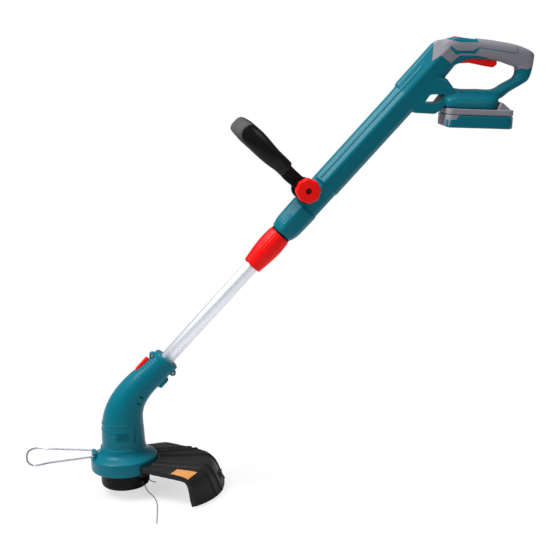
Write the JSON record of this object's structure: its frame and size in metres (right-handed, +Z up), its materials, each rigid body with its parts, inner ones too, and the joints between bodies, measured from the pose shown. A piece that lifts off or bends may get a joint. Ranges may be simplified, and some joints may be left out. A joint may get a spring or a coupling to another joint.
{
  "type": "cordless string trimmer",
  "caption": "Cordless string trimmer with a telescopic tube, swivelling cutting head with debris guard and plant guard wire, clamped auxiliary handle and slide-on battery.",
  "frame": {"origin": "centre of the bump button's lower face, on the line spool's axis", "axes": "+Z up along the spool's axis; +X from the cutting head towards the rear handle; -Y is the trimmer's left side, where the clamp knob is"},
  "size_m": [0.9025, 0.2346, 0.757],
  "materials": {
    "teal_plastic": "satin moulded plastic",
    "red_plastic": "satin moulded plastic",
    "grey_overmould": "soft matt moulding",
    "black_plastic": "satin moulded plastic",
    "guard_plastic": "fine textured plastic",
    "black_rubber": "soft satin rubber",
    "aluminium": "satin anodised",
    "steel": "plated",
    "brass": "turned",
    "nylon_line": "smooth line",
    "cell_wrap": "shrink film",
    "cable_sheath": "matt sheath"
  },
  "bodies": {
    "housing": {"housing_left": "teal_plastic", "housing_right": "teal_plastic", "grip_cover_left": "grey_overmould", "grip_cover_right": "grey_overmould", "top_plate": "teal_plastic", "collet": "black_plastic", "collar_seal": "black_rubber", "switch": "black_plastic", "trigger_pin": "steel", "terminal_block": "black_plastic", "pivot_bolt": "steel", "housing_screw_1": "steel", "housing_screw_2": "steel", "housing_screw_3": "steel", "housing_screw_4": "steel"},
    "trigger": {"trigger": "red_plastic"},
    "lock_off_button": {"lock_off_button": "red_plastic"},
    "battery": {"battery_lower_case": "teal_plastic", "battery_upper_case": "grey_overmould", "battery_cell_1": "cell_wrap", "battery_cell_2": "cell_wrap", "battery_cell_3": "cell_wrap", "battery_cell_4": "cell_wrap", "battery_cell_5": "cell_wrap"},
    "battery_latch": {"battery_latch": "red_plastic"},
    "aux_handle": {"aux_handle_frame": "black_plastic", "aux_handle_grip": "black_rubber"},
    "knob": {"clamp_knob": "red_plastic", "knob_nut": "brass"},
    "collar": {"lock_collar": "red_plastic"},
    "lower_tube": {"lower_tube": "aluminium", "tube_guide_bush": "black_plastic", "retaining_ring": "steel", "power_lead": "cable_sheath"},
    "head": {"head_left": "teal_plastic", "head_right": "teal_plastic", "motor": "steel", "lower_bearing": "steel", "guard": "guard_plastic", "guard_screw_1": "steel", "guard_screw_2": "steel", "line_cutter": "steel", "cutter_screw": "steel", "neck_screw_1": "steel", "neck_screw_2": "steel"},
    "head_lock_button": {"head_lock_button": "red_plastic"},
    "wire_guard": {"wire_guard": "steel"},
    "spool": {"motor_shaft": "steel", "drive_hub": "brass", "spool_housing": "black_plastic", "spool_cap": "black_plastic", "line_eyelet_1": "steel", "line_eyelet_2": "steel", "line_end_long": "nylon_line", "line_end_short": "nylon_line"},
    "bump": {"bump_button": "black_plastic", "line_reel": "black_plastic", "line_winding": "nylon_line", "bump_spring": "steel"}
  },
  "joints": [
    {"name": "trigger_pull", "type": "hinge", "parent": "housing", "child": "trigger", "pos_m": [0.6081, 0, 0.7127], "axis": [0, -1, 0], "range_deg": [0, 8], "stiffness_Nm_per_rad": 0.6, "springref_deg": -11.46},
    {"name": "lock_off_press", "type": "slide", "parent": "housing", "child": "lock_off_button", "axis": [-0.1788, 0, -0.9839], "range_m": [0, 0.0025], "stiffness_N_per_m": 800, "springref_m": -0.002},
    {"name": "battery_slide", "type": "slide", "parent": "housing", "child": "battery", "axis": [0.9968, 0, -0.0802], "range_m": [0, 0.08]},
    {"name": "battery_latch_press", "type": "slide", "parent": "battery", "child": "battery_latch", "axis": [-0.0802, 0, -0.9968], "range_m": [0, 0.0025], "stiffness_N_per_m": 800, "springref_m": -0.002},
    {"name": "aux_handle_tilt", "type": "hinge", "parent": "housing", "child": "aux_handle", "pos_m": [0.33481, 0, 0.5084], "axis": [0, 1, 0], "range_deg": [-45, 45]},
    {"name": "clamp_knob_turn", "type": "hinge", "parent": "housing", "child": "knob", "pos_m": [0.33481, 0, 0.5084], "axis": [0, 1, 0], "range_deg": [0, 360]},
    {"name": "collar_twist", "type": "hinge", "parent": "housing", "child": "collar", "pos_m": [0.239, 0, 0.3785], "axis": [0.7071, 0, 0.7071], "range_deg": [0, 90]},
    {"name": "tube_slide", "type": "slide", "parent": "housing", "child": "lower_tube", "axis": [-0.7071, 0, -0.7071], "range_m": [-0.15, 0.05]},
    {"name": "head_swivel", "type": "hinge", "parent": "lower_tube", "child": "head", "pos_m": [0.0594, 0, 0.1989], "axis": [0.7071, 0, 0.7071], "range_deg": [0, 180]},
    {"name": "head_lock_press", "type": "slide", "parent": "head", "child": "head_lock_button", "axis": [0.7071, 0, -0.7071], "range_m": [0, 0.003], "stiffness_N_per_m": 800, "springref_m": -0.002},
    {"name": "wire_guard_fold", "type": "hinge", "parent": "head", "child": "wire_guard", "pos_m": [-0.05081, -0.00445, 0.065], "axis": [-0.0872, 0.9962, 0], "range_deg": [0, 90]},
    {"name": "spool_spin", "type": "hinge", "parent": "head", "child": "spool", "pos_m": [0, 0, 0.037], "axis": [0, 0, 1], "continuous": true},
    {"name": "bump_press", "type": "slide", "parent": "spool", "child": "bump", "axis": [0, 0, 1], "range_m": [0, 0.005], "stiffness_N_per_m": 600, "springref_m": -0.004, "deforming": ["bump_spring"]}
  ]
}
